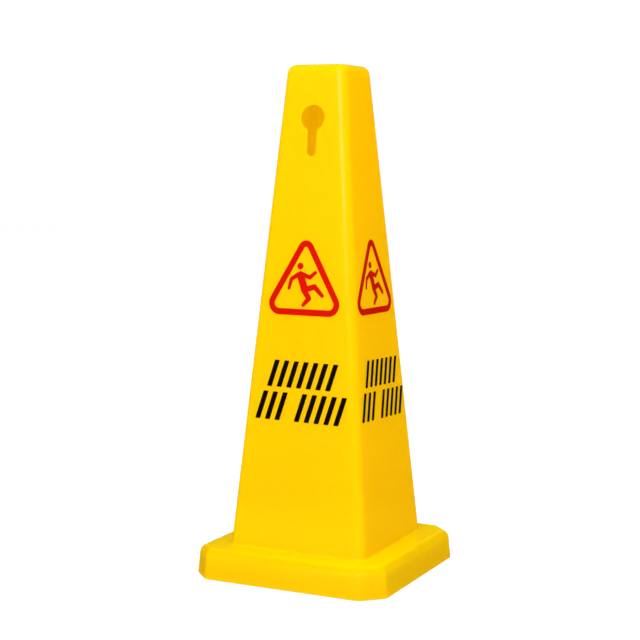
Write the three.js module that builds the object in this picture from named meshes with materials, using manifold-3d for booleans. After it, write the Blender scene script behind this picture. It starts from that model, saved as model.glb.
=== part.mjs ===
// A four-sided wet floor cone: a tapered plastic shell with a square skirted foot, a ballast ring and
// a screwed cover under the foot, rubber feet, and in-mould labels on all four faces.
// Millimetres, +Z up. The origin is on the floor under the cone's centre, and the front face looks along -Y.
import * as THREE from "three";
import { mergeVertices } from "three/addons/utils/BufferGeometryUtils.js";
import Module from "manifold-3d";

const wasm = await Module();
wasm.setup();

// Driving dimensions of the shell
const HEIGHT = 654;
const BASE_WIDTH = 268;
const FLANGE_TOP = 39;
const SKIRT_BOTTOM = 0.8; // the rubber feet lift the skirt this far off the floor
const CONE_FOOT_WIDTH = 190; // across the cone's faces where they would meet the flange
const CONE_TOP_WIDTH = 82.1; // across the cone's faces where they would meet the crown
const WALL = 2.6;
const CORNER_RADIUS = 11; // upright corners of the cone
const CROWN_RADIUS = 11.5; // edge between the faces and the crown
const FOOT_FILLET = 4; // hollow between the faces and the flange
const RIM_RADIUS = 11; // edge between the flange and the skirt
const SKIRT_DRAFT = 2.4; // how far each side of the skirt leans in on its way up to the rim
const SKIRT_CUT = 26; // how much of each side the cut-off corner takes
const SKIRT_EDGE_RADIUS = 9; // upright edges of the cut-off corners

// Keyhole for a barrier chain's hook, in the front and back faces
const KEYHOLE_HEIGHT = 587; // height of the round part's centre
const KEYHOLE_RADIUS = 16.5;
const SLOT_WIDTH = 13.2;
const SLOT_DROP = 42; // from the round part's centre to the centre of the slot's rounded end

// In-mould labels, flush with the faces
const LABEL_THICKNESS = 0.4;
const LABEL_GAP = 0.3;
const LABEL_SUNK = 0.05; // how far the label's face lies under the shell's face
const SYMBOL_BOTTOM = 337; // height of the triangle's lower edge
const SYMBOL_HALF_BASE = 59; // to the corner before rounding
const SYMBOL_RISE = 107; // to the apex before rounding
const SYMBOL_RADIUS = 9;
const BARS_BOTTOM = 203;
const BARS_RISE = 82;
const BARS_HALF_BASE = 67;
const BARS_HALF_TOP = 60;
const BARS_RADIUS = 5;

// Foot hardware
const COVER_THICKNESS = 3;
const COVER_BOTTOM = 3;
const COVER_OPENING = 105; // half the width of the opening the next cone's body passes when stacked
const COVER_OPENING_RADIUS = 22;
const GAP = 0.3; // free space between neighbouring pieces
const BALLAST_INNER = 105.5;
const BALLAST_INNER_RADIUS = 22;
const BALLAST_TOP = 30;
const BALLAST_PLAY = 0.5; // between the ballast and the skirt, so that it drops in
const BOSS_RADIUS = 4.5;
const BOSS_OUT = 118; // from the centre line to the row of bosses on each side
const BOSS_ALONG = 48; // from a side's middle to its two bosses
const SCREW_LENGTH = 14;
const SCREW_RADIUS = 1.8;
const SCREW_HEAD_RADIUS = 3.8;
const SCREW_HEAD_DEPTH = 2;
const SCREW_HEAD_RIM = 0.3;
const SCREW_POINT = 3; // length of the tapered tip
const SCREW_SUNK = 0.1; // the head lies this far inside the cover's underside
const RECESS_LENGTH = 4;
const RECESS_WIDTH = 0.9;
const RECESS_DEPTH = 1;
const FOOT_PLACE = 109; // a rubber foot's centre, along X and along Y
const FOOT_RADIUS = 9;
const FOOT_STEM_RADIUS = 3;
const FOOT_BARB_RADIUS = 4.2;
const FOOT_BARB_LENGTH = 3;
const FOOT_EDGE = 0.8; // bevel round the pad
const BARB_RELIEF = 1; // free space round each barb, inside the ballast

const EDGE_STEPS = 3; // facets in each eighth of a turn
const ARC_STEPS = 4; // facets across each rounded edge of the shell
const ROUND_STEPS = 16; // facets round a screw, boss or foot
const KEYHOLE_CURVE_STEPS = 9;
const LABEL_CURVE_STEPS = 3;

const COVER_TOP = COVER_BOTTOM + COVER_THICKNESS;
const LEAN = Math.atan((CONE_FOOT_WIDTH - CONE_TOP_WIDTH) / 2 / (HEIGHT - FLANGE_TOP)); // of each face
const FULL_ROUND_CUT = 2 - Math.SQRT2; // share of its radius that a fully rounded corner cuts off a side
const LEAST_RADIUS = 0.6;

const MATERIALS = {
  shell: new THREE.MeshStandardMaterial({ color: 0xfdd600, roughness: 0.38, metalness: 0 }),
  cover: new THREE.MeshStandardMaterial({ color: 0xe8b800, roughness: 0.5, metalness: 0 }),
  rubber: new THREE.MeshStandardMaterial({ color: 0x1c1c1c, roughness: 0.85, metalness: 0 }),
  steel: new THREE.MeshStandardMaterial({ color: 0xb9bcc0, roughness: 0.3, metalness: 1 }),
  symbol: new THREE.MeshStandardMaterial({ color: 0xe60a0a, roughness: 0.45, metalness: 0 }),
  bars: new THREE.MeshStandardMaterial({ color: 0x14100c, roughness: 0.45, metalness: 0 }),
};

// ---------------------------------------------------------------- solids

function solidOf(geometry) {
  const bare = geometry.clone().deleteAttribute("normal").deleteAttribute("uv");
  const merged = mergeVertices(bare, 1e-4);
  const corners = merged.index.array;
  const kept = [];
  for (let i = 0; i < corners.length; i += 3) {
    const [a, b, c] = corners.slice(i, i + 3);
    if (a !== b && b !== c && c !== a) kept.push(a, b, c);
  }
  const vertProperties = new Float32Array(merged.attributes.position.array);
  return new wasm.Manifold(new wasm.Mesh({ numProp: 3, vertProperties, triVerts: new Uint32Array(kept) }));
}

function geometryOf(solid) {
  const mesh = solid.getMesh();
  return new THREE.BufferGeometry()
    .setAttribute("position", new THREE.BufferAttribute(mesh.vertProperties, 3))
    .setIndex(new THREE.BufferAttribute(mesh.triVerts, 1));
}

function cut(solid, geometries) {
  return geometries.reduce((left, geometry) => left.subtract(solidOf(geometry)), solid);
}

// An upright cylinder or cone from one height to another.
function upright(x, y, bottom, top, bottomRadius, topRadius = bottomRadius) {
  return new THREE.CylinderGeometry(topRadius, bottomRadius, top - bottom, ROUND_STEPS)
    .rotateX(Math.PI / 2)
    .translate(x, y, (bottom + top) / 2);
}

// A solid of revolution about Z from [radius, height] points that start and end on the axis.
function turned(profile) {
  const points = profile.map(([radius, height]) => new THREE.Vector2(radius, height));
  return new THREE.LatheGeometry(points, ROUND_STEPS).rotateX(Math.PI / 2);
}

// ---------------------------------------------------------------- outlines and lofts

// A square with cut-off corners whose eight edges are rounded, anticlockwise from above.
function outline({ half, cornerCut, radius }) {
  const tangent = radius * Math.tan(Math.PI / 8);
  const centres = [
    [half - radius, half - cornerCut - tangent],
    [half - cornerCut - tangent, half - radius],
  ];
  const points = [];
  for (let quarter = 0; quarter < 4; quarter++) {
    centres.forEach(([x, y], side) => {
      for (let step = 0; step <= EDGE_STEPS; step++) {
        const angle = ((side + step / EDGE_STEPS) * Math.PI) / 4;
        const point = new THREE.Vector2(x + radius * Math.cos(angle), y + radius * Math.sin(angle));
        points.push(point.rotateAround(new THREE.Vector2(), (quarter * Math.PI) / 2));
      }
    });
  }
  return points;
}

const roundedSquare = (half, radius) => ({ half, radius, cornerCut: radius * FULL_ROUND_CUT });

// The skirt's outline, moved inwards by `inset`.
const skirtOutline = (inset) => ({
  half: BASE_WIDTH / 2 - inset,
  cornerCut: SKIRT_CUT - inset * FULL_ROUND_CUT,
  radius: SKIRT_EDGE_RADIUS,
});

// A closed skin over a stack of outlines, bottom first, each with its height z.
function loft(rings) {
  const count = outline(rings[0]).length;
  const positions = [];
  const indices = [];
  rings.forEach((ring) => outline(ring).forEach((point) => positions.push(point.x, point.y, ring.z)));
  for (let level = 0; level < rings.length - 1; level++) {
    for (let i = 0; i < count; i++) {
      const low = level * count + i;
      const lowNext = level * count + ((i + 1) % count);
      indices.push(low, lowNext, lowNext + count, low, lowNext + count, low + count);
    }
  }
  const last = (rings.length - 1) * count;
  for (let i = 1; i < count - 1; i++) indices.push(0, i + 1, i, last, last + i, last + i + 1);
  return new THREE.BufferGeometry()
    .setAttribute("position", new THREE.Float32BufferAttribute(positions, 3))
    .setIndex(indices);
}

const prism = (shape, bottom, top) => loft([{ ...shape, z: bottom }, { ...shape, z: top }]);

// ---------------------------------------------------------------- the shell

// Half the cone's width at a height, measured on its outer faces.
const coneHalf = (z) => CONE_TOP_WIDTH / 2 + (HEIGHT - z) * Math.tan(LEAN);

// Outline of the cone part: its corner radius shrinks or grows as the surface moves in or out.
function coneRing(half, z) {
  const radius = Math.max(CORNER_RADIUS + half - coneHalf(z), LEAST_RADIUS);
  return { ...roundedSquare(half, radius), z };
}

// How far the skirt's face has leant in at a height.
const skirtLean = (z) => (SKIRT_DRAFT * (z - SKIRT_BOTTOM)) / (FLANGE_TOP - RIM_RADIUS - SKIRT_BOTTOM);

// Outlines of the shell's surface `depth` under its outer skin, from the skirt up to the crown.
function skinRings(depth) {
  const rimHalf = BASE_WIDTH / 2 - SKIRT_DRAFT - RIM_RADIUS;
  const rings = [{ ...skirtOutline(depth), z: SKIRT_BOTTOM }];
  for (let step = 0; step <= ARC_STEPS; step++) {
    const angle = (step / ARC_STEPS) * (Math.PI / 2);
    const half = rimHalf + (RIM_RADIUS - depth) * Math.cos(angle);
    const z = FLANGE_TOP - RIM_RADIUS + (RIM_RADIUS - depth) * Math.sin(angle);
    rings.push({ ...skirtOutline(BASE_WIDTH / 2 - half), z });
  }
  const filletZ = FLANGE_TOP + FOOT_FILLET;
  const filletHalf = coneHalf(filletZ - FOOT_FILLET * Math.sin(LEAN)) + FOOT_FILLET * Math.cos(LEAN);
  for (let step = 0; step <= ARC_STEPS; step++) {
    const angle = Math.PI / 2 - (step / ARC_STEPS) * (Math.PI / 2 - LEAN);
    const reach = FOOT_FILLET + depth;
    rings.push(coneRing(filletHalf - reach * Math.cos(angle), filletZ - reach * Math.sin(angle)));
  }
  const crownZ = HEIGHT - CROWN_RADIUS;
  const crownHalf = coneHalf(crownZ + CROWN_RADIUS * Math.sin(LEAN)) - CROWN_RADIUS * Math.cos(LEAN);
  for (let step = 0; step <= ARC_STEPS; step++) {
    const angle = LEAN + (step / ARC_STEPS) * (Math.PI / 2 - LEAN);
    const reach = CROWN_RADIUS - depth;
    rings.push(coneRing(crownHalf + reach * Math.cos(angle), crownZ + reach * Math.sin(angle)));
  }
  return rings;
}

// The frame of a face: x across it, y up its slope and z out of it, from a height on its middle line.
function faceFrame(turn, height) {
  return new THREE.Matrix4()
    .makeRotationZ(turn)
    .multiply(new THREE.Matrix4().makeTranslation(0, -coneHalf(height), height))
    .multiply(new THREE.Matrix4().makeRotationX(Math.PI / 2 - LEAN));
}

function keyholeShape() {
  const slotHalf = SLOT_WIDTH / 2;
  const mouth = Math.asin(slotHalf / KEYHOLE_RADIUS);
  return new THREE.Shape()
    .absarc(0, 0, KEYHOLE_RADIUS, mouth - Math.PI / 2, (3 * Math.PI) / 2 - mouth, false)
    .absarc(0, -SLOT_DROP, slotHalf, Math.PI, 2 * Math.PI, false);
}

// A polygon whose corners are rounded to `radius`, moved outwards by `grow`.
function roundedPolygon(corners, radius, grow) {
  const shape = new THREE.Shape();
  corners.forEach((corner, i) => {
    const before = corners[(i + corners.length - 1) % corners.length].clone().sub(corner).normalize();
    const after = corners[(i + 1) % corners.length].clone().sub(corner).normalize();
    const halfAngle = Math.acos(before.dot(after)) / 2;
    const bisector = before.clone().add(after).normalize();
    const centre = corner.clone().addScaledVector(bisector, radius / Math.sin(halfAngle));
    const start = Math.atan2(before.x, -before.y);
    const end = start + Math.PI - 2 * halfAngle;
    shape.absarc(centre.x, centre.y, radius + grow, start, end, false);
  });
  return shape;
}

// A label outline symmetric about the face's middle line, given anticlockwise.
function labelShape(halfBase, halfTop, rise, radius, grow) {
  const corners = [new THREE.Vector2(-halfBase, 0), new THREE.Vector2(halfBase, 0)];
  if (halfTop > 0) corners.push(new THREE.Vector2(halfTop, rise));
  corners.push(new THREE.Vector2(-halfTop, rise));
  return roundedPolygon(corners, radius, grow);
}

const LABELS = [
  {
    name: "slip_symbol",
    height: SYMBOL_BOTTOM,
    material: MATERIALS.symbol,
    shape: (grow) => labelShape(SYMBOL_HALF_BASE, 0, SYMBOL_RISE, SYMBOL_RADIUS, grow),
  },
  {
    name: "hazard_bars",
    height: BARS_BOTTOM,
    material: MATERIALS.bars,
    shape: (grow) => labelShape(BARS_HALF_BASE, BARS_HALF_TOP, BARS_RISE, BARS_RADIUS, grow),
  },
];

const FACES = [
  { name: "front", turn: 0, keyhole: true },
  { name: "right", turn: Math.PI / 2, keyhole: false },
  { name: "back", turn: Math.PI, keyhole: true },
  { name: "left", turn: (3 * Math.PI) / 2, keyhole: false },
];

function plate(shape, depth, curveSegments) {
  return new THREE.ExtrudeGeometry(shape, { depth, curveSegments, bevelEnabled: false });
}

// Openings and label pockets, as cutters placed on one face.
function faceCutters({ turn, keyhole }) {
  const cutters = LABELS.map(({ height, shape }) => {
    const pocketDepth = LABEL_SUNK + LABEL_THICKNESS + LABEL_GAP;
    const pocket = plate(shape(LABEL_GAP), 2 * pocketDepth, LABEL_CURVE_STEPS);
    return pocket.translate(0, 0, -pocketDepth).applyMatrix4(faceFrame(turn, height));
  });
  if (keyhole) {
    const through = 4 * WALL;
    const hole = plate(keyholeShape(), through, KEYHOLE_CURVE_STEPS).translate(0, 0, -through / 2);
    cutters.push(hole.applyMatrix4(faceFrame(turn, KEYHOLE_HEIGHT)));
  }
  return cutters;
}

// The eight places round the foot where a screw holds the cover.
const SCREW_PLACES = FACES.flatMap(({ name, turn }) =>
  [
    ["left", -BOSS_ALONG],
    ["right", BOSS_ALONG],
  ].map(([end, along]) => {
    const place = new THREE.Vector2(along, -BOSS_OUT).rotateAround(new THREE.Vector2(), turn);
    return { name: `cover_screw_${name}_${end}`, x: place.x, y: place.y };
  }),
);

const FOOT_PLACES = [
  { name: "rubber_foot_front_left", x: -FOOT_PLACE, y: -FOOT_PLACE },
  { name: "rubber_foot_front_right", x: FOOT_PLACE, y: -FOOT_PLACE },
  { name: "rubber_foot_back_right", x: FOOT_PLACE, y: FOOT_PLACE },
  { name: "rubber_foot_back_left", x: -FOOT_PLACE, y: FOOT_PLACE },
];

function coneShell() {
  const inside = skinRings(WALL);
  inside.unshift({ ...inside[0], z: SKIRT_BOTTOM - 1 });
  let shell = solidOf(loft(skinRings(0))).subtract(solidOf(loft(inside)));
  const bossTop = FLANGE_TOP - WALL / 2;
  SCREW_PLACES.forEach(({ x, y }) => {
    shell = shell.add(solidOf(upright(x, y, COVER_TOP + GAP, bossTop, BOSS_RADIUS)));
  });
  const pilots = SCREW_PLACES.map(({ x, y }) =>
    upright(x, y, COVER_TOP, COVER_BOTTOM + SCREW_LENGTH + SCREW_POINT, SCREW_RADIUS + GAP),
  );
  return cut(shell, [...pilots, ...FACES.flatMap(faceCutters)]);
}

// ---------------------------------------------------------------- ballast, cover and hardware

function ballastRing() {
  const bottom = COVER_TOP + GAP;
  const ring = solidOf(prism(skirtOutline(SKIRT_DRAFT + WALL + BALLAST_PLAY), bottom, BALLAST_TOP));
  const bosses = SCREW_PLACES.map(({ x, y }) => upright(x, y, 0, 2 * BALLAST_TOP, BOSS_RADIUS + GAP));
  const barbTop = bottom + FOOT_BARB_LENGTH + BARB_RELIEF;
  const barbs = FOOT_PLACES.map(({ x, y }) => upright(x, y, 0, barbTop, FOOT_BARB_RADIUS + BARB_RELIEF));
  const opening = prism(roundedSquare(BALLAST_INNER, BALLAST_INNER_RADIUS), 0, 2 * BALLAST_TOP);
  return cut(ring, [opening, ...bosses, ...barbs]);
}

function baseCover() {
  const frame = solidOf(prism(skirtOutline(skirtLean(COVER_TOP) + WALL + GAP), COVER_BOTTOM, COVER_TOP));
  const opening = prism(roundedSquare(COVER_OPENING, COVER_OPENING_RADIUS), 0, 2 * COVER_TOP);
  const stems = FOOT_PLACES.map(({ x, y }) => upright(x, y, 0, 2 * COVER_TOP, FOOT_STEM_RADIUS + GAP));
  const shanks = SCREW_PLACES.map(({ x, y }) => upright(x, y, 0, 2 * COVER_TOP, SCREW_RADIUS + GAP));
  const sinkTop = COVER_BOTTOM + SCREW_HEAD_DEPTH + GAP;
  const sinkSlope = (SCREW_HEAD_RADIUS - SCREW_RADIUS) / (SCREW_HEAD_DEPTH - SCREW_HEAD_RIM);
  const sinkRadius = SCREW_RADIUS + GAP + sinkTop * sinkSlope;
  const sinks = SCREW_PLACES.map(({ x, y }) => upright(x, y, 0, sinkTop, sinkRadius, SCREW_RADIUS + GAP));
  return cut(frame, [opening, ...stems, ...shanks, ...sinks]);
}

// A countersunk self-tapping screw, head down, with a cross recess.
function screw() {
  const body = solidOf(
    turned([
      [0, 0],
      [SCREW_HEAD_RADIUS, 0],
      [SCREW_HEAD_RADIUS, SCREW_HEAD_RIM],
      [SCREW_RADIUS, SCREW_HEAD_DEPTH],
      [SCREW_RADIUS, SCREW_LENGTH - SCREW_POINT],
      [0, SCREW_LENGTH],
    ]),
  );
  const slot = new THREE.BoxGeometry(RECESS_LENGTH, RECESS_WIDTH, 2 * RECESS_DEPTH);
  return cut(body, [slot, slot.clone().rotateZ(Math.PI / 2)]);
}

// A push-in rubber foot: a pad on the floor, and a barbed stem that grips the cover's hole.
function rubberFoot() {
  const padTop = COVER_BOTTOM - GAP;
  const barbBottom = COVER_TOP + GAP;
  return turned([
    [0, 0],
    [FOOT_RADIUS - FOOT_EDGE, 0],
    [FOOT_RADIUS, FOOT_EDGE],
    [FOOT_RADIUS, padTop],
    [FOOT_STEM_RADIUS, padTop],
    [FOOT_STEM_RADIUS, barbBottom],
    [FOOT_BARB_RADIUS, barbBottom],
    [FOOT_STEM_RADIUS, barbBottom + FOOT_BARB_LENGTH],
    [0, barbBottom + FOOT_BARB_LENGTH],
  ]);
}

// ---------------------------------------------------------------- the assembly

function named(name, geometry, material) {
  const mesh = new THREE.Mesh(geometry, material);
  mesh.name = name;
  return mesh;
}

const sign = new THREE.Group();
sign.add(named("cone_shell", geometryOf(coneShell()), MATERIALS.shell));
sign.add(named("ballast_ring", geometryOf(ballastRing()), MATERIALS.rubber));
sign.add(named("base_cover", geometryOf(baseCover()), MATERIALS.cover));

const screwGeometry = geometryOf(screw());
SCREW_PLACES.forEach(({ name, x, y }) => {
  const mesh = named(name, screwGeometry, MATERIALS.steel);
  mesh.position.set(x, y, COVER_BOTTOM + SCREW_SUNK);
  sign.add(mesh);
});

const footGeometry = geometryOf(solidOf(rubberFoot()));
FOOT_PLACES.forEach(({ name, x, y }) => {
  const mesh = named(name, footGeometry, MATERIALS.rubber);
  mesh.position.set(x, y, 0);
  sign.add(mesh);
});

FACES.forEach((face) => {
  LABELS.forEach(({ name, height, material, shape }) => {
    const film = plate(shape(0), LABEL_THICKNESS, LABEL_CURVE_STEPS);
    const mesh = named(`${name}_${face.name}`, film.translate(0, 0, -LABEL_SUNK - LABEL_THICKNESS), material);
    mesh.applyMatrix4(faceFrame(face.turn, height));
    sign.add(mesh);
  });
});

export default sign;
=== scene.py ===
"""A four-sided wet floor cone: a moulded shell with printed faces, on a weighted foot."""

import math

import bmesh
import bpy
from mathutils import Matrix, Vector


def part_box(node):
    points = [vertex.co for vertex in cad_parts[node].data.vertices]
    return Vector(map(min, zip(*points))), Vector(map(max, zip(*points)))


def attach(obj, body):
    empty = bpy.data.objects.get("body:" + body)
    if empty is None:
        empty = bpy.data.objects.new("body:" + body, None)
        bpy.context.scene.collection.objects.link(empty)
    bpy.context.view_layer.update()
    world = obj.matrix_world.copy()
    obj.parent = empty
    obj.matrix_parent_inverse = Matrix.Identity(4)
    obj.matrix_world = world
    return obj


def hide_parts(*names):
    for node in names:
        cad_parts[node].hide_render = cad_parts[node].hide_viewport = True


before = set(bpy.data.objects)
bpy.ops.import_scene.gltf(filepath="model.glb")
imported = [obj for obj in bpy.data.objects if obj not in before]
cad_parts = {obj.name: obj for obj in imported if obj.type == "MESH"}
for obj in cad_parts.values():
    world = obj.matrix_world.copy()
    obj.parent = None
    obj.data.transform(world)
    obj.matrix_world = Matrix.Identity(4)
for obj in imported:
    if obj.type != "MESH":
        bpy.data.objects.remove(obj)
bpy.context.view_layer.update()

MM = 0.001
RIGHT_ANGLE = math.pi / 2
EIGHTH_TURN = math.pi / 4
FACES = {"front": 0.0, "right": RIGHT_ANGLE, "back": math.pi, "left": 3 * RIGHT_ANGLE}
KEYHOLE_FACES = ("front", "back")

# ---------------------------------------------------------------- sizes read from the frame

SHELL_LOW, SHELL_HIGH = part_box("cone_shell")
BASE_HALF = SHELL_HIGH.x
HEIGHT = SHELL_HIGH.z
SKIRT_BOTTOM = SHELL_LOW.z


def front_plane():
    """The front face's y on the floor's plane, and how much y grows with each unit of height."""
    nearly_forwards = -0.9
    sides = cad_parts["cone_shell"].data.polygons
    outer = [side for side in sides if side.center.y < 0 and side.center.z > HEIGHT / 4]
    facing = [side for side in outer if side.normal.y < nearly_forwards]
    widest = max(facing, key=lambda side: side.area)
    slope = -widest.normal.z / widest.normal.y
    return widest.center.y - slope * widest.center.z, slope


def flange_top():
    """The height of the foot's upper side: the highest corner near the foot's edge."""
    near_edge = 0.8 * BASE_HALF
    corners = [vertex.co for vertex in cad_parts["cone_shell"].data.vertices]
    return max(corner.z for corner in corners if corner.x > near_edge)


FRONT_Y, FRONT_SLOPE = front_plane()
LEAN = math.atan(FRONT_SLOPE)
FLANGE_TOP = flange_top()

# Shell details, the same as the CAD's
WALL = 2.6 * MM
CORNER_RADIUS = 11 * MM
CROWN_RADIUS = 11.5 * MM
FOOT_FILLET = 4 * MM
RIM_RADIUS = 11 * MM
SKIRT_DRAFT = 2.4 * MM
SKIRT_CUT = 26 * MM
SKIRT_EDGE_RADIUS = 9 * MM
FULL_ROUND_CUT = 2 - math.sqrt(2)  # share of its radius that a fully rounded corner cuts off a side
LEAST_RADIUS = 0.6 * MM  # of the cone's corners where they are followed inwards

KEYHOLE_HEIGHT = 587 * MM
KEYHOLE_RADIUS = 16.5 * MM
SLOT_HALF = 6.6 * MM
SLOT_DROP = 42 * MM
KEYHOLE_FILLET = 1.9 * MM  # between the round hole and the slot
KEYHOLE_LIP = 0.8 * MM  # radius of its edge on the outer skin; the inner one has half of it

EDGE_STEPS = 8  # segments in each eighth of a turn
SIDE_STEPS = 6  # segments along each straight side
ARC_STEPS = 10  # segments across each rounded edge
CONE_STEPS = 12  # levels up the straight part of the cone
ROUND_STEPS = 48  # sides of each turned solid
MERGE_DISTANCE = 0.001 * MM


def cone_half(z):
    """Half the cone's width at a height."""
    return -(FRONT_Y + FRONT_SLOPE * z)


def half_off_face(distance, z):
    """The same for a point that stands a distance off the face, or inside it if that is negative."""
    return cone_half(z - distance * math.sin(LEAN)) + distance * math.cos(LEAN)


def face_frame(turn, z):
    """A face's own frame: x across it, y up its slope and z out of it, from its middle at a height."""
    place = Matrix.Translation((0, -cone_half(z), z))
    return Matrix.Rotation(turn, 4, "Z") @ place @ Matrix.Rotation(RIGHT_ANGLE - LEAN, 4, "X")


# Foot hardware, placed where the CAD's pieces are
COVER_LOW, COVER_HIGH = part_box("base_cover")
BALLAST_LOW, BALLAST_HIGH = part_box("ballast_ring")
SCREWS = sorted(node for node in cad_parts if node.startswith("cover_screw_"))
FEET = sorted(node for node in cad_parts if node.startswith("rubber_foot_"))
GAP = 0.3 * MM
OPENING_HALF = 105 * MM
OPENING_RADIUS = 22 * MM
BOSS_RADIUS = 4.5 * MM
COVER_EDGE = 0.4 * MM
COVER_GROOVES = (
    # half the width of the square it follows, its own width, its depth
    (125 * MM, 1.6 * MM, 0.8 * MM),
    (108.5 * MM, 1.6 * MM, 0.8 * MM),
)
BALLAST_EDGE = 1.5 * MM
SCREW_RADIUS = 1.8 * MM
SCREW_HEAD_RADIUS = 3.8 * MM
SCREW_HEAD_DEPTH = 2 * MM
SCREW_HEAD_RIM = 0.3 * MM
SCREW_TIP = 3 * MM
THREAD_PITCH = 1.4 * MM
THREAD_DEPTH = 0.35 * MM
SCREW_STEPS = 24  # sides of a screw
FOOT_RADIUS = 9 * MM
FOOT_STEM_RADIUS = 3 * MM
FOOT_BARB_RADIUS = 4.2 * MM
BARB_RELIEF = 1 * MM
FOOT_RINGS = (  # radius and height above the floor, in millimetres, from the sole's middle to its edge
    (2.0, 0.4), (2.3, 0), (4.2, 0), (4.5, 0.5), (5.6, 0.5), (5.9, 0), (8.0, 0), (8.6, 0.25), (9.0, 0.8),
)


def middle(node):
    """The middle of a CAD node, seen from above."""
    low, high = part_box(node)
    return Vector(((low.x + high.x) / 2, (low.y + high.y) / 2, 0))


# ---------------------------------------------------------------- mesh helpers


def arc(x, y, radius, start, end, steps):
    """Points along an arc round (x, y), both ends included."""
    angles = [start + (end - start) * step / steps for step in range(steps + 1)]
    return [Vector((x + radius * math.cos(a), y + radius * math.sin(a), 0)) for a in angles]


def outline(half, cut, radius, z):
    """A square whose corners are cut off and rounded, anticlockwise from above."""
    flat = half - cut - radius * math.tan(EIGHTH_TURN / 2)
    corner = arc(half - radius, flat, radius, 0, EIGHTH_TURN, EDGE_STEPS)
    corner += arc(flat, half - radius, radius, EIGHTH_TURN, RIGHT_ANGLE, EDGE_STEPS)
    end, start = Vector((flat, half, 0)), Vector((-flat, half, 0))
    side = [end.lerp(start, step / SIDE_STEPS) for step in range(1, SIDE_STEPS)]
    points = []
    for quarter in range(4):
        turn = Matrix.Rotation(quarter * RIGHT_ANGLE, 3, "Z")
        points += [turn @ point + Vector((0, 0, z)) for point in corner + side]
    return points


def rounded_square(half, radius, z):
    """A square with plainly rounded corners."""
    return outline(half, radius * FULL_ROUND_CUT, radius, z)


def skirt_ring(half, z):
    """The skirt's outline, moved inwards to a half width."""
    cut = SKIRT_CUT - (BASE_HALF - half) * FULL_ROUND_CUT
    return outline(half, cut, SKIRT_EDGE_RADIUS, z)


def clean(mesh):
    """Merges meeting corners and points every face outwards."""
    shape = bmesh.new()
    shape.from_mesh(mesh)
    bmesh.ops.remove_doubles(shape, verts=shape.verts, dist=MERGE_DISTANCE)
    bmesh.ops.dissolve_degenerate(shape, edges=shape.edges, dist=MERGE_DISTANCE)
    bmesh.ops.recalc_face_normals(shape, faces=shape.faces)
    shape.to_mesh(mesh)
    shape.free()


def loft(name, rings, loop=False):
    """A closed skin over rings of equal length: a loop of rings, or a stack with a fan over each end."""
    count = len(rings[0])
    points = [point for ring in rings for point in ring]
    faces = []
    for level in range(len(rings) if loop else len(rings) - 1):
        low, high = level * count, (level + 1) % len(rings) * count
        for i in range(count):
            j = (i + 1) % count
            faces.append((low + i, low + j, high + j, high + i))
    if not loop:
        for first in (0, (len(rings) - 1) * count):
            points.append(sum(points[first:first + count], Vector()) / count)
            centre = len(points) - 1
            faces += [(first + i, first + (i + 1) % count, centre) for i in range(count)]
    mesh = bpy.data.meshes.new(name)
    mesh.from_pydata(points, [], faces)
    clean(mesh)
    return mesh


def circle(radius, z, steps):
    """The corners of a level polygon round Z."""
    return [point + Vector((0, 0, z)) for point in arc(0, 0, radius, 0, 2 * math.pi, steps)[:-1]]


def turned(name, profile):
    """A solid of revolution about Z, from (radius, height) points listed from one end to the other."""
    return loft(name, [circle(radius, z, ROUND_STEPS) for radius, z in profile])


def plate(name, outlines, low, high):
    """Flat outlines, each a list of points, made solid between two heights."""
    parts = []
    for points in outlines:
        levels = [[Vector((p.x, p.y, z)) for p in points] for z in (low, high)]
        parts.append(prism(name, levels))
    return joined(name, parts)


def prism(name, levels):
    """Two equal outlines, one over the other, with a flat face over each end."""
    count = len(levels[0])
    sides = [(i, (i + 1) % count, (i + 1) % count + count, i + count) for i in range(count)]
    ends = [tuple(reversed(range(count))), tuple(range(count, 2 * count))]
    mesh = bpy.data.meshes.new(name)
    mesh.from_pydata(levels[0] + levels[1], [], sides + ends)
    clean(mesh)
    return mesh


def joined(name, meshes):
    """One mesh made of several, which it uses up."""
    shape = bmesh.new()
    for mesh in meshes:
        shape.from_mesh(mesh)
    whole = bpy.data.meshes.new(name)
    shape.to_mesh(whole)
    shape.free()
    for mesh in meshes:
        bpy.data.meshes.remove(mesh)
    return whole


def copies(mesh, nodes):
    """One mesh that holds a copy of another at the middle of each node."""
    return joined(mesh.name, [placed(mesh.copy(), Matrix.Translation(middle(node))) for node in nodes])


def placed(mesh, matrix):
    """The same mesh, moved."""
    mesh.transform(matrix)
    return mesh


def combined(mesh, other, operation):
    """The union or difference of a mesh and another, as a new mesh."""
    body = bpy.data.objects.new("body", mesh)
    tool = bpy.data.objects.new("tool", other)
    for item in (body, tool):
        bpy.context.scene.collection.objects.link(item)
    step = body.modifiers.new("step", "BOOLEAN")
    step.operation = operation
    step.solver = "EXACT"
    step.object = tool
    graph = bpy.context.evaluated_depsgraph_get()
    result = bpy.data.meshes.new_from_object(body.evaluated_get(graph))
    for item in (body, tool):
        bpy.data.objects.remove(item)
    return result


def add_piece(name, mesh, material, nodes, smooth=True):
    """Shows a mesh on the root body in place of CAD nodes."""
    mesh.name = name
    mesh.materials.clear()
    mesh.materials.append(material)
    if smooth:
        mesh.shade_smooth()
    else:
        mesh.shade_flat()
    piece = bpy.data.objects.new(name, mesh)
    bpy.context.scene.collection.objects.link(piece)
    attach(piece, "root")
    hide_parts(*nodes)
    return piece


def even_normals(piece, sharp_angle=35):
    """Keeps flat faces flat in the shading, up to the edges that bend more than the angle."""
    piece.data.set_sharp_from_angle(angle=math.radians(sharp_angle))
    weigh = piece.modifiers.new("even_normals", "WEIGHTED_NORMAL")
    weigh.keep_sharp = True


# ---------------------------------------------------------------- the shell


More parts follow.
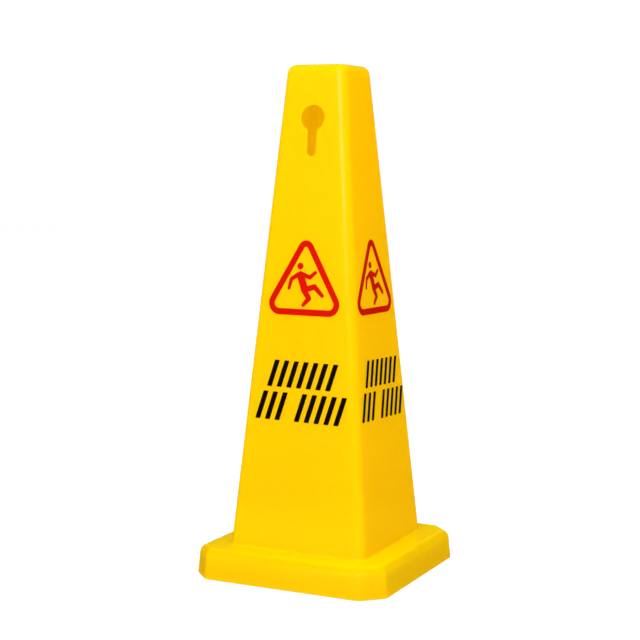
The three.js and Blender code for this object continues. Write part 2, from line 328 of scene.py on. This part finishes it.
def cone_ring(half, z):
    """The outline of a skin of the cone; its corners keep the cone's own corners as centres."""
    radius = max(CORNER_RADIUS + half - cone_half(z), LEAST_RADIUS)
    return rounded_square(half, radius, z)


def arc_rings(ring, half, z, radius, start, end):
    """Outlines along an arc of the shell's section, whose centre is at a half width and a height."""
    rings = []
    for step in range(ARC_STEPS + 1):
        angle = start + (end - start) * step / ARC_STEPS
        rings.append(ring(half + radius * math.cos(angle), z + radius * math.sin(angle)))
    return rings


def skin_rings(depth):
    """Outlines of the surface `depth` under the outer skin, from the skirt to the crown's edge."""
    half, z = BASE_HALF - SKIRT_DRAFT - RIM_RADIUS, FLANGE_TOP - RIM_RADIUS
    rim = arc_rings(skirt_ring, half, z, RIM_RADIUS - depth, 0, RIGHT_ANGLE)
    z = FLANGE_TOP + FOOT_FILLET
    half = half_off_face(FOOT_FILLET, z)
    fillet = arc_rings(cone_ring, half, z, FOOT_FILLET + depth, 3 * RIGHT_ANGLE, math.pi + LEAN)
    z = HEIGHT - CROWN_RADIUS
    half = half_off_face(-CROWN_RADIUS, z)
    crown = arc_rings(cone_ring, half, z, CROWN_RADIUS - depth, LEAN, RIGHT_ANGLE)
    straight = []
    for step in range(1, CONE_STEPS):
        straight.append([low.lerp(high, step / CONE_STEPS) for low, high in zip(fillet[-1], crown[0])])
    return rim + fillet + straight + crown


def lip_rings():
    """The skirt's rounded bottom edge, from the outer skin round to the inner one."""
    radius = WALL / 2
    return arc_rings(skirt_ring, BASE_HALF - radius, SKIRT_BOTTOM + radius, radius, 0, -math.pi)


def gate_rings():
    """The round gate mark in the middle of the crown: a shallow dish with a stub in it."""
    dish, floor, stub = 8, 0.7, 1.8  # two radii with the dish's depth between them, in millimetres
    steps = [(dish + 0.6, 0), (dish, 0.1), (dish - 0.6, floor)]
    steps += [(stub + 0.5, floor), (stub, floor - 0.2), (stub - 0.2, 0.15)]
    return [rounded_square(radius * MM, radius * MM, HEIGHT - sunk * MM) for radius, sunk in steps]


def keyhole_ring(grow, depth):
    """The keyhole's outline grown by `grow`, `depth` under the face, in the face's frame."""
    hole, slot, fillet = KEYHOLE_RADIUS + grow, SLOT_HALF + grow, KEYHOLE_FILLET - grow
    x = slot + fillet
    y = -math.sqrt((hole + fillet) ** 2 - x ** 2)
    mouth = math.atan2(y, x)
    points = arc(0, 0, hole, mouth, math.pi - mouth, 60)
    points += arc(-x, y, fillet, -mouth, 0, 6)[1:]
    points += arc(0, -SLOT_DROP, slot, math.pi, 2 * math.pi, 24)
    points += arc(x, y, fillet, math.pi, math.pi + mouth, 6)[:-1]
    return [point + Vector((0, 0, -depth)) for point in points]


def keyhole_cutter(turn):
    """A plug the shape of the keyhole, flared at the skins so that it leaves rounded lips."""
    flare = [math.radians(angle) for angle in (80, 62, 45, 28, 12, 0)]
    lip = [(KEYHOLE_LIP * (1 - math.cos(a)), KEYHOLE_LIP * (1 - math.sin(a))) for a in flare]
    reach = KEYHOLE_LIP * 0.9  # how far the flare runs on in a straight line, past the skin
    first = (lip[0][0] + reach * math.sin(flare[0]), lip[0][1] - reach * math.cos(flare[0]))
    outer = [first] + lip
    inner = [(grow / 2, WALL - depth / 2) for grow, depth in reversed(outer)]
    last = (inner[-1][0], inner[-1][1] + WALL)
    rings = [keyhole_ring(grow, depth) for grow, depth in outer + inner + [last]]
    return placed(loft("keyhole", rings), face_frame(turn, KEYHOLE_HEIGHT))


def pilot_hole():
    """A screw's hole up its boss, a little deeper than the screw, with a drill point."""
    radius = SCREW_RADIUS + GAP
    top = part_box(SCREWS[0])[1].z + 3 * MM
    return turned("pilot", [(radius, 0), (radius, top), (0.2 * MM, top + MM)])


def build_shell(material):
    """The hollow shell, as one skin from the crown down to the skirt's lip and up again inside."""
    crown_flat = [rounded_square(half * MM, half / 2 * MM, HEIGHT) for half in (30, 20, 13)]
    outside = skin_rings(0) + crown_flat + gate_rings()
    inside = skin_rings(WALL)
    mesh = loft("shell", list(reversed(outside)) + lip_rings() + inside)
    boss = turned("boss", [(BOSS_RADIUS, BALLAST_LOW.z), (BOSS_RADIUS, FLANGE_TOP - WALL / 2)])
    mesh = combined(mesh, copies(boss, SCREWS), "UNION")
    cutters = [keyhole_cutter(FACES[face]) for face in KEYHOLE_FACES] + [copies(pilot_hole(), SCREWS)]
    mesh = combined(mesh, joined("cutters", cutters), "DIFFERENCE")
    even_normals(add_piece("moulded_shell", mesh, material, ["cone_shell"]))


# ---------------------------------------------------------------- printing on the faces

INK_LOW = -0.05 * MM
INK_HIGH = 0.05 * MM

TRIANGLE_HEIGHT = 338.8 * MM  # of its lower edge above the floor
TRIANGLE_HALF = 60.3 * MM  # to the corner before rounding
TRIANGLE_RISE = 106.5 * MM  # to the apex before rounding
TRIANGLE_STROKE = 8.2 * MM
TRIANGLE_ROUND = 15 * MM
APEX_ROUND = 11.2 * MM
LEAST_ROUND = 1.2 * MM  # of the inner outline's corners

# The figure, in millimetres from the middle of the triangle's foot
HEAD = (-7, 62.5, 4.3)  # x, y, radius
LIMBS = (
    # start, end, radius at the start, radius at the end
    ((-6, 50.5), (0, 33), 5.4, 4.9),  # trunk
    ((-3.5, 52), (7, 48.5), 2.9, 2.7),  # right upper arm
    ((7, 48.5), (14.5, 55), 2.7, 2.2),  # right forearm
    ((-9, 52), (-19, 45.5), 2.9, 2.6),  # left upper arm
    ((-19, 45.5), (-22, 34), 2.6, 2.1),  # left forearm
    ((1.5, 33), (14, 37), 3.9, 3.4),  # raised thigh
    ((14, 37), (25, 26), 3.4, 2.5),  # raised shin
    ((-0.5, 32), (6.5, 22), 4.0, 3.5),  # standing thigh
    ((6.5, 22), (-1, 13.5), 3.5, 2.5),  # standing shin
)

BAR_ROWS = (
    # height of the row's foot above the floor, the row's height and width, bars in each group
    (204.5 * MM, 36 * MM, 128 * MM, (3, 5)),
    (247 * MM, 34 * MM, 99 * MM, (7,)),
)
BARS_HEIGHT = BAR_ROWS[0][0]
BAR_SLANT = math.radians(16)
BAR_ROUND = 0.8 * MM

# Where a print isn't laid straight on its face: its shift to the right, its stretch across and its turn
STRAIGHT = (0, 1, 0)
SYMBOL_PLACES = {"front": (-1.2 * MM, 1, 0), "right": (-2.2 * MM, 1.06, math.radians(-1.2))}
BAR_PLACES = {"front": (0, 1, math.radians(-0.8)), "right": (0, 1.03, math.radians(-2.5))}


def rounded_polygon(corners, radii, steps=8):
    """An anticlockwise polygon with each corner rounded to its own radius."""
    points = []
    for i, (corner, radius) in enumerate(zip(corners, radii)):
        before = (corners[i - 1] - corner).normalized()
        after = (corners[(i + 1) % len(corners)] - corner).normalized()
        half_angle = before.angle(after) / 2
        centre = corner + (before + after).normalized() * radius / math.sin(half_angle)
        start = math.atan2(before.x, -before.y)
        points += arc(centre.x, centre.y, radius, start, start + math.pi - 2 * half_angle, steps)
    return points


def triangle(inset):
    """The symbol's rounded triangle, moved inwards, with its lower edge's middle as origin."""
    side_angle = math.atan2(TRIANGLE_RISE, TRIANGLE_HALF)
    half = TRIANGLE_HALF - inset / math.tan(side_angle / 2)
    rise = half * math.tan(side_angle)
    corners = [Vector((-half, inset, 0)), Vector((half, inset, 0)), Vector((0, inset + rise, 0))]
    radii = (TRIANGLE_ROUND, TRIANGLE_ROUND, APEX_ROUND)
    return rounded_polygon(corners, [max(radius - inset, LEAST_ROUND) for radius in radii])


def triangle_ring():
    """The symbol's border, as a loop of four outlines round its section."""
    section = ((0, INK_LOW), (0, INK_HIGH), (TRIANGLE_STROKE, INK_HIGH), (TRIANGLE_STROKE, INK_LOW))
    rings = []
    for inset, z in section:
        rings.append([point + Vector((0, 0, z)) for point in triangle(inset)])
    return loft("ring", rings, loop=True)


def limb(start, end, start_radius, end_radius):
    """A limb of the figure: a tapered bar with round ends."""
    start, end = Vector((*start, 0)) * MM, Vector((*end, 0)) * MM
    along = math.atan2(end.y - start.y, end.x - start.x)
    splay = math.acos((start_radius - end_radius) * MM / (end - start).length)
    points = arc(end.x, end.y, end_radius * MM, along - splay, along + splay, 12)
    points += arc(start.x, start.y, start_radius * MM, along + splay, along + 2 * math.pi - splay, 12)
    return plate("limb", [points], INK_LOW, INK_HIGH)


def figure():
    """A plain figure losing its footing, drawn with round-ended bars."""
    shape = limb(*LIMBS[0])
    for values in LIMBS[1:]:
        shape = combined(shape, limb(*values), "UNION")
    x, y, radius = (value * MM for value in HEAD)
    head = arc(x, y, radius, 0, 2 * math.pi, 40)[:-1]
    return joined("figure", [shape, plate("head", [head], INK_LOW, INK_HIGH)])


def symbol_mesh():
    """The slip symbol: the figure in its border."""
    return joined("symbol", [triangle_ring(), figure()])


def slanted_bar(x, y, width, height, lean):
    """The outline of a bar whose lower left corner is at (x, y)."""
    corners = ((x, y), (x + width, y), (x + width + lean, y + height), (x + lean, y + height))
    return rounded_polygon([Vector((*corner, 0)) for corner in corners], [BAR_ROUND] * len(corners), 4)


def bars_mesh():
    """Two rows of slanted bars, as wide as their gaps, with one bar left out between groups."""
    outlines = []
    for foot, height, width, groups in BAR_ROWS:
        slots = sum(groups) + len(groups) - 1
        lean = height * math.tan(BAR_SLANT)
        pitch = (width - lean) / (slots - 0.5)
        x = -width / 2
        for group in groups:
            for _ in range(group):
                outlines.append(slanted_bar(x, foot - BARS_HEIGHT, pitch / 2, height, lean))
                x += pitch
            x += pitch
    return plate("bars", outlines, INK_LOW, INK_HIGH)


def laid(mesh, frame_of_face, place):
    """A copy of a print, laid on a face, a little off straight where its place says so."""
    shift, stretch, angle = place
    settle = Matrix.Translation((shift, 0, 0)) @ Matrix.Rotation(angle, 4, "Z")
    return placed(mesh.copy(), frame_of_face @ settle @ Matrix.Diagonal((stretch, 1, 1, 1)))


def print_faces(red, black):
    """The symbol and the bars on every face."""
    prints = (
        ("symbol_print", "slip_symbol", symbol_mesh(), TRIANGLE_HEIGHT, SYMBOL_PLACES, red),
        ("bars_print", "hazard_bars", bars_mesh(), BARS_HEIGHT, BAR_PLACES, black),
    )
    for face, turn in FACES.items():
        for slot, node, mesh, height, places, material in prints:
            label = laid(mesh, face_frame(turn, height), places.get(face, STRAIGHT))
            add_piece(f"{slot}_{face}", label, material, [f"{node}_{face}"], smooth=False)


# ---------------------------------------------------------------- under the foot


def square_ring(name, outer, opening, low, high, edge, grooves=()):
    """A square frame between two half widths, with bevelled edges and grooves in its underside."""
    def inner_ring(half, z):
        return rounded_square(half, OPENING_RADIUS + half - opening, z)

    rings = [inner_ring(opening + edge, high), skirt_ring(outer - edge, high)]
    rings += [skirt_ring(outer, high - edge), skirt_ring(outer, low + edge)]
    rings.append(skirt_ring(outer - edge, low))
    for half, width, depth in grooves:
        mouth, floor = width / 2, (width - depth) / 2
        section = ((mouth, low), (floor, low + depth), (-floor, low + depth), (-mouth, low))
        rings += [inner_ring(half + offset, z) for offset, z in section]
    rings += [inner_ring(opening + edge, low), inner_ring(opening, low + edge)]
    rings.append(inner_ring(opening, high - edge))
    return loft(name, rings, loop=True)


def build_cover(material):
    """The cover under the ballast, with countersunk holes for the screws and plain ones for the feet."""
    low, high = COVER_LOW.z, COVER_HIGH.z
    mesh = square_ring("cover", COVER_HIGH.x, OPENING_HALF, low, high, COVER_EDGE, COVER_GROOVES)
    sink_top = low + SCREW_HEAD_DEPTH + GAP
    slope = (SCREW_HEAD_RADIUS - SCREW_RADIUS) / (SCREW_HEAD_DEPTH - SCREW_HEAD_RIM)
    shank = SCREW_RADIUS + GAP
    sink = turned("sink", [(shank + sink_top * slope, 0), (shank, sink_top), (shank, 2 * high)])
    stem = turned("stem", [(FOOT_STEM_RADIUS + GAP, 0), (FOOT_STEM_RADIUS + GAP, 2 * high)])
    mesh = combined(mesh, joined("holes", [copies(sink, SCREWS), copies(stem, FEET)]), "DIFFERENCE")
    even_normals(add_piece("ballast_cover", mesh, material, ["base_cover"]))


def build_ballast(material):
    """The ballast ring, with holes round the screws' bosses and hollows over the feet's barbs."""
    low, high = BALLAST_LOW.z, BALLAST_HIGH.z
    mesh = square_ring("ballast", BALLAST_HIGH.x, OPENING_HALF + GAP, low, high, BALLAST_EDGE)
    boss = turned("boss", [(BOSS_RADIUS + GAP, 0), (BOSS_RADIUS + GAP, 2 * high)])
    radius = FOOT_BARB_RADIUS + BARB_RELIEF
    barb = turned("barb", [(radius, 0), (radius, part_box(FEET[0])[1].z + BARB_RELIEF)])
    mesh = combined(mesh, joined("holes", [copies(boss, SCREWS), copies(barb, FEET)]), "DIFFERENCE")
    even_normals(add_piece("rubber_ballast", mesh, material, ["ballast_ring"]))


def threaded_rings(low, high, tip):
    """Rings up a screw's shank whose thread winds once round in each pitch, tapering to the tip."""
    levels_per_turn, least_core = 8, 0.08
    levels = round((tip - low) / THREAD_PITCH * levels_per_turn)
    full_core = SCREW_RADIUS - THREAD_DEPTH
    rings = []
    for level in range(1, levels + 1):
        z = low + (tip - low) * level / levels
        core = full_core
        if z > high:
            core *= max((tip - z) / (tip - high), least_core)
        ring = []
        for i in range(SCREW_STEPS):
            turn = i / SCREW_STEPS
            # a pointed ridge, half a pitch wide
            ridge = max(0, 1 - abs(((z / THREAD_PITCH - turn) % 1) - 0.5) * 4)
            radius = core + THREAD_DEPTH * ridge * core / full_core
            angle = turn * 2 * math.pi
            ring.append(Vector((radius * math.cos(angle), radius * math.sin(angle), z)))
        rings.append(ring)
    return rings


def cross_recess(low):
    """The tapering cross that the driver fits."""
    arm, half_slot, depth = 2.2 * MM, 0.45 * MM, 1.6 * MM
    mouth_size, bottom_size = 1.1, 0.35
    corners = []
    for quarter in range(4):
        turn = Matrix.Rotation(quarter * RIGHT_ANGLE, 3, "Z")
        for x, y in ((arm, -half_slot), (arm, half_slot), (half_slot, half_slot)):
            corners.append(turn @ Vector((x, y, 0)))
    mouth = [corner * mouth_size + Vector((0, 0, low - 0.2 * MM)) for corner in corners]
    bottom = [corner * bottom_size + Vector((0, 0, low + depth)) for corner in corners]
    return prism("recess", [mouth, bottom])


def screw_mesh():
    """A countersunk screw, head down."""
    low, high = (corner.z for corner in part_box(SCREWS[0]))
    bevel = 0.15 * MM
    head = [(SCREW_HEAD_RADIUS - bevel, low), (SCREW_HEAD_RADIUS, low + bevel)]
    head += [(SCREW_HEAD_RADIUS, low + SCREW_HEAD_RIM), (SCREW_RADIUS, low + SCREW_HEAD_DEPTH)]
    rings = [circle(radius, z, SCREW_STEPS) for radius, z in head]
    rings += threaded_rings(low + SCREW_HEAD_DEPTH, high - SCREW_TIP, high)
    return combined(loft("screw", rings), cross_recess(low), "DIFFERENCE")


def foot_mesh():
    """A push-in foot: a ringed pad on the floor, and a barbed stem up through the cover."""
    pad_top, bevel = COVER_LOW.z - GAP, 0.4 * MM
    barb, barb_rim = COVER_HIGH.z + GAP, 0.6 * MM
    top, top_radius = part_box(FEET[0])[1].z, 0.8 * FOOT_STEM_RADIUS
    profile = [(radius * MM, z * MM) for radius, z in FOOT_RINGS]
    profile += [(FOOT_RADIUS, pad_top - bevel), (FOOT_RADIUS - bevel, pad_top)]
    profile += [(FOOT_STEM_RADIUS, pad_top), (FOOT_STEM_RADIUS, barb), (FOOT_BARB_RADIUS, barb)]
    profile += [(FOOT_BARB_RADIUS, barb + barb_rim), (top_radius, top)]
    return turned("foot", profile)


def add_copies(mesh, names, material, sharp_angle):
    """Shows a copy of a mesh in place of each node, under the name given for it."""
    for node, name in names.items():
        copy = placed(mesh.copy(), Matrix.Translation(middle(node)))
        even_normals(add_piece(name, copy, material, [node]), sharp_angle)


def build_screws(material):
    """The screws that hold the cover, two on each side."""
    names = {node: node.replace("cover_screw", "countersunk_screw") for node in SCREWS}
    add_copies(screw_mesh(), names, material, sharp_angle=25)


def build_feet(material):
    """The feet, one near each corner."""
    names = {node: node.replace("rubber_foot", "pad_foot") for node in FEET}
    add_copies(foot_mesh(), names, material, sharp_angle=35)


# ---------------------------------------------------------------- materials


def new_material(name, roughness=0.5, metallic=0.0):
    """A material with its Principled shader, and with the part's own space as the node `place`."""
    material = bpy.data.materials.new(name)
    material.use_nodes = True
    nodes = material.node_tree.nodes
    shader = nodes["Principled BSDF"]
    shader.inputs["Roughness"].default_value = roughness
    shader.inputs["Metallic"].default_value = metallic
    place = nodes.new("ShaderNodeTexCoord")
    place.name = "place"
    return material, shader


def link(material, output, target):
    material.node_tree.links.new(output, target)


def noise(material, scale, detail=3.0, rough=0.5):
    """Noise in the part's own space; scale is its grains in a metre."""
    nodes = material.node_tree.nodes
    texture = nodes.new("ShaderNodeTexNoise")
    texture.inputs["Scale"].default_value = scale
    texture.inputs["Detail"].default_value = detail
    texture.inputs["Roughness"].default_value = rough
    link(material, nodes["place"].outputs["Object"], texture.inputs["Vector"])
    return texture.outputs["Fac"]


def ramp(material, source, stops):
    """A ramp through (position, colour) stops; a number stands for a grey."""
    node = material.node_tree.nodes.new("ShaderNodeValToRGB")
    elements = node.color_ramp.elements
    while len(elements) < len(stops):
        elements.new(0.5)
    for element, (position, colour) in zip(elements, stops):
        element.position = position
        element.color = (*colour, 1) if isinstance(colour, tuple) else (colour, colour, colour, 1)
    link(material, source, node.inputs["Fac"])
    return node.outputs["Color"]


def value_range(material, source, low, high, start=0, end=1):
    """The source's range from start to end, stretched from low to high."""
    node = material.node_tree.nodes.new("ShaderNodeMapRange")
    node.inputs["From Min"].default_value = start
    node.inputs["From Max"].default_value = end
    node.inputs["To Min"].default_value = low
    node.inputs["To Max"].default_value = high
    link(material, source, node.inputs["Value"])
    return node.outputs["Result"]


def blend(material, share, low, high):
    """A colour the given share of the way from low to high."""
    node = material.node_tree.nodes.new("ShaderNodeMixRGB")
    link(material, share, node.inputs["Fac"])
    link(material, low, node.inputs["Color1"])
    link(material, high, node.inputs["Color2"])
    return node.outputs["Color"]


def bump(material, source, depth, strength, under=None):
    """The surface's tilt over a relief of a given depth, on top of another bump if there is one."""
    node = material.node_tree.nodes.new("ShaderNodeBump")
    node.inputs["Distance"].default_value = depth
    node.inputs["Strength"].default_value = strength
    link(material, source, node.inputs["Height"])
    if under:
        link(material, under, node.inputs["Normal"])
    return node.outputs["Normal"]


def height_above_floor(material):
    """The height above the floor, in metres."""
    nodes = material.node_tree.nodes
    split = nodes.new("ShaderNodeSeparateXYZ")
    link(material, nodes["place"].outputs["Object"], split.inputs["Vector"])
    return split.outputs["Z"]


def let_light_through(material, shader, colour, share):
    """Mixes in a share of light that passes through the wall."""
    nodes = material.node_tree.nodes
    glow = nodes.new("ShaderNodeBsdfTranslucent")
    glow.inputs["Color"].default_value = (*colour, 1)
    mix = nodes.new("ShaderNodeMixShader")
    link(material, share, mix.inputs["Fac"])
    link(material, shader.outputs["BSDF"], mix.inputs[1])
    link(material, glow.outputs["BSDF"], mix.inputs[2])
    link(material, mix.outputs["Shader"], nodes["Material Output"].inputs["Surface"])


# The share of light that passes through the shell, against the height as a part of SHADED_HEIGHT
SHADED_HEIGHT = 3 * FLANGE_TOP
LIGHT_SHARES = (
    (0.16, 0.41),  # skirt
    (0.24, 0.37),  # foot of the rim
    (0.29, 0.5),  # rim
    (0.318, 0.5),  # rim
    (0.333, 0.22),  # flange
    (0.36, 0.3),  # fillet
    (0.9, 0.56),  # cone
)


def shell_plastic():
    """Safety yellow polyethylene: satin, a little translucent, with a fine moulded grain, and painted
    shade as a darker, more orange yellow on the skirt that fades out over the rim.
    """
    material, shader = new_material("shell_plastic")
    rise = value_range(material, height_above_floor(material), 0, 1, 0, SHADED_HEIGHT)
    clouds = noise(material, 5, 2)
    # The foot's colour is painted shade: the skirt and rim get a darker, more orange yellow, though the
    # moulding is one colour throughout
    foot = ramp(material, clouds, [(0.3, (0.965, 0.585, 0.0)), (0.7, (0.985, 0.605, 0.0))])
    cone = ramp(material, clouds, [(0.3, (0.965, 0.63, 0.0)), (0.7, (0.985, 0.65, 0.0))])
    above_painted_shade = ramp(material, rise, [(0.2, 0.0), (0.332, 1.0)])
    link(material, blend(material, above_painted_shade, foot, cone), shader.inputs["Base Color"])
    link(material, value_range(material, noise(material, 60, 4), 0.18, 0.25), shader.inputs["Roughness"])
    shader.inputs["Subsurface Weight"].default_value = 0.8
    shader.inputs["Subsurface Radius"].default_value = (1.0, 1.0, 0.1)
    shader.inputs["Subsurface Scale"].default_value = 3 * MM
    shader.inputs["Specular IOR Level"].default_value = 0.2
    sway = bump(material, noise(material, 14, 1), 0.6 * MM, 0.25)
    grain = bump(material, noise(material, 1400, 2), 0.05 * MM, 0.25, sway)
    link(material, grain, shader.inputs["Normal"])
    let_light_through(material, shader, (1.0, 0.885, 0.03), ramp(material, rise, LIGHT_SHARES))
    return material


def ink(name, colour, worn):
    """Satin ink with faint mottling."""
    material, shader = new_material(name)
    mottle = noise(material, 500, 3)
    link(material, ramp(material, mottle, [(0.35, colour), (0.75, worn)]), shader.inputs["Base Color"])
    link(material, value_range(material, mottle, 0.18, 0.26), shader.inputs["Roughness"])
    shader.inputs["Specular IOR Level"].default_value = 0.15
    link(material, bump(material, mottle, 0.02 * MM, 0.2), shader.inputs["Normal"])
    return material


def cover_plastic():
    """The shell's plastic with a coarser, matt grain."""
    material, shader = new_material("cover_plastic", roughness=0.5)
    colour = ramp(material, noise(material, 8), [(0.3, (0.75, 0.42, 0.0)), (0.7, (0.82, 0.47, 0.002))])
    link(material, colour, shader.inputs["Base Color"])
    link(material, bump(material, noise(material, 2500, 2), 0.08 * MM, 0.4), shader.inputs["Normal"])
    return material


def rubber(name, dark, light, grains, depth):
    """Matt rubber with a crumb of a given number of grains in a metre."""
    material, shader = new_material(name)
    crumb = noise(material, grains, 4, 0.7)
    link(material, ramp(material, crumb, [(0.4, dark), (0.65, light)]), shader.inputs["Base Color"])
    link(material, value_range(material, crumb, 0.7, 0.95), shader.inputs["Roughness"])
    link(material, bump(material, crumb, depth, 0.7), shader.inputs["Normal"])
    return material


def zinc_steel():
    """Bright zinc plating, a little uneven in its shine."""
    material, shader = new_material("screw_steel", metallic=1.0)
    shader.inputs["Base Color"].default_value = (0.62, 0.63, 0.65, 1)
    mottle = noise(material, 900, 3)
    link(material, value_range(material, mottle, 0.22, 0.42), shader.inputs["Roughness"])
    return material


def floor_material():
    """White paper that the camera sees as nearly evenly lit."""
    material, shader = new_material("floor", roughness=0.9)
    shader.inputs["Base Color"].default_value = (0.9, 0.9, 0.9, 1)
    shader.inputs["Specular IOR Level"].default_value = 0.0
    nodes = material.node_tree.nodes
    even = nodes.new("ShaderNodeEmission")
    even.inputs["Strength"].default_value = EVEN_WHITE
    path = nodes.new("ShaderNodeLightPath")
    share = value_range(material, path.outputs["Is Camera Ray"], 0, EVEN_SHARE)
    mix = nodes.new("ShaderNodeMixShader")
    link(material, share, mix.inputs["Fac"])
    link(material, shader.outputs["BSDF"], mix.inputs[1])
    link(material, even.outputs["Emission"], mix.inputs[2])
    link(material, mix.outputs["Shader"], nodes["Material Output"].inputs["Surface"])
    return material


# ---------------------------------------------------------------- floor, light and camera

CAMERA_AZIMUTH = math.radians(25.74)  # from the front face towards the right one
CAMERA_YAW = math.radians(0.30)
CAMERA_PITCH = math.radians(-6.19)
CAMERA_ROLL = math.radians(0.23)
CAMERA_DISTANCE = 1.952  # from the cone's centre line
CAMERA_HEIGHT = 0.5385
CAMERA_LENS = 84.79  # focal length in millimetres

FLOOR_HALF = 8
EVEN_WHITE = 1.19  # the floor's even glow, seen only by the camera
EVEN_SHARE = 0.8  # the glow's share of what the camera sees on the floor
BACKDROP = 1.05  # the world's strength as the camera sees it,
AMBIENT = 0.13  # as it lights the cone,
MIRRORED = 0.03  # and as the plastic mirrors it
SOFTBOXES = (
    # name, azimuth and elevation in degrees, distance, width, height, power, mirrored in the plastic
    ("key", 7, 22, 2.6, 1.9, 1.0, 65, True),
    ("top", 30, 86, 6.5, 4.0, 4.0, 410, False),
    ("right", 115, 20, 2.6, 2.0, 2.0, 28, False),
    ("back", 225, 25, 3.0, 2.0, 2.0, 13, False),
)
AIM_HEIGHT = 0.4  # where the softboxes point, on the cone's centre line
LIGHT_BOUNCES = 16
DIFFUSE_BOUNCES = 12


def add_floor():
    """A wide sheet that isn't mirrored in the plastic."""
    corners = [(x * FLOOR_HALF, y * FLOOR_HALF, 0) for x, y in ((-1, -1), (1, -1), (1, 1), (-1, 1))]
    mesh = bpy.data.meshes.new("floor")
    mesh.from_pydata(corners, [], [(0, 1, 2, 3)])
    mesh.materials.append(floor_material())
    floor = bpy.data.objects.new("floor", mesh)
    floor.visible_glossy = False
    bpy.context.scene.collection.objects.link(floor)


def add_softbox(name, azimuth, elevation, distance, width, height, power, mirrored):
    """A soft rectangular light, aimed at the cone; its azimuth is measured like the camera's."""
    data = bpy.data.lights.new(name, "AREA")
    data.shape = "RECTANGLE"
    data.size, data.size_y = width, height
    data.energy = power
    light = bpy.data.objects.new(name, data)
    light.visible_glossy = mirrored
    azimuth, elevation = math.radians(azimuth), math.radians(elevation)
    level = math.cos(elevation)
    away = Vector((math.sin(azimuth) * level, -math.cos(azimuth) * level, math.sin(elevation)))
    light.location = away * distance + Vector((0, 0, AIM_HEIGHT))
    light.rotation_euler = (-away).to_track_quat("-Z", "Y").to_euler()
    bpy.context.scene.collection.objects.link(light)


def add_world():
    """White to the camera, a softer white as light, and dimmer still where the plastic mirrors it."""
    world = bpy.data.worlds.new("studio")
    world.use_nodes = True
    tree = world.node_tree
    background = tree.nodes["Background"]
    path = tree.nodes.new("ShaderNodeLightPath")
    source = None
    for ray, strength in (("Is Glossy Ray", MIRRORED), ("Is Camera Ray", BACKDROP)):
        switch = tree.nodes.new("ShaderNodeMix")
        switch.inputs["A"].default_value = AMBIENT
        switch.inputs["B"].default_value = strength
        tree.links.new(path.outputs[ray], switch.inputs["Factor"])
        if source:
            tree.links.new(source, switch.inputs["A"])
        source = switch.outputs["Result"]
    tree.links.new(source, background.inputs["Strength"])
    background.inputs["Color"].default_value = (1, 1, 1, 1)
    bpy.context.scene.world = world


def add_camera():
    """The camera looks level towards the centre line, then turns, tilts and rolls a little."""
    data = bpy.data.cameras.new("camera")
    data.lens = CAMERA_LENS
    camera = bpy.data.objects.new("camera", data)
    away = Vector((math.sin(CAMERA_AZIMUTH), -math.cos(CAMERA_AZIMUTH), 0))
    camera.location = away * CAMERA_DISTANCE + Vector((0, 0, CAMERA_HEIGHT))
    turn = Matrix.Rotation(CAMERA_AZIMUTH + CAMERA_YAW, 4, "Z")
    tilt = Matrix.Rotation(RIGHT_ANGLE + CAMERA_PITCH, 4, "X")
    roll = Matrix.Rotation(CAMERA_ROLL, 4, "Z")
    camera.rotation_euler = (turn @ tilt @ roll).to_euler()
    bpy.context.scene.collection.objects.link(camera)
    bpy.context.scene.camera = camera


def build_stage():
    """Everything round the cone, and how its light is traced and shown."""
    add_floor()
    add_world()
    for name, *values in SOFTBOXES:
        add_softbox(name, *values)
    add_camera()
    scene = bpy.context.scene
    scene.view_settings.view_transform = "Standard"
    scene.cycles.max_bounces = LIGHT_BOUNCES
    scene.cycles.diffuse_bounces = DIFFUSE_BOUNCES


build_shell(shell_plastic())
print_faces(ink("symbol_red", (0.46, 0.002, 0.0), (0.50, 0.004, 0.0)),
            ink("bars_black", (0.0015, 0.0006, 0.0005), (0.004, 0.002, 0.0015)))
build_cover(cover_plastic())
build_ballast(rubber("ballast_rubber", (0.02, 0.02, 0.02), (0.07, 0.07, 0.065), 700, 0.5 * MM))
build_screws(zinc_steel())
build_feet(rubber("foot_rubber", (0.025, 0.025, 0.025), (0.045, 0.045, 0.045), 2500, 0.1 * MM))
build_stage()
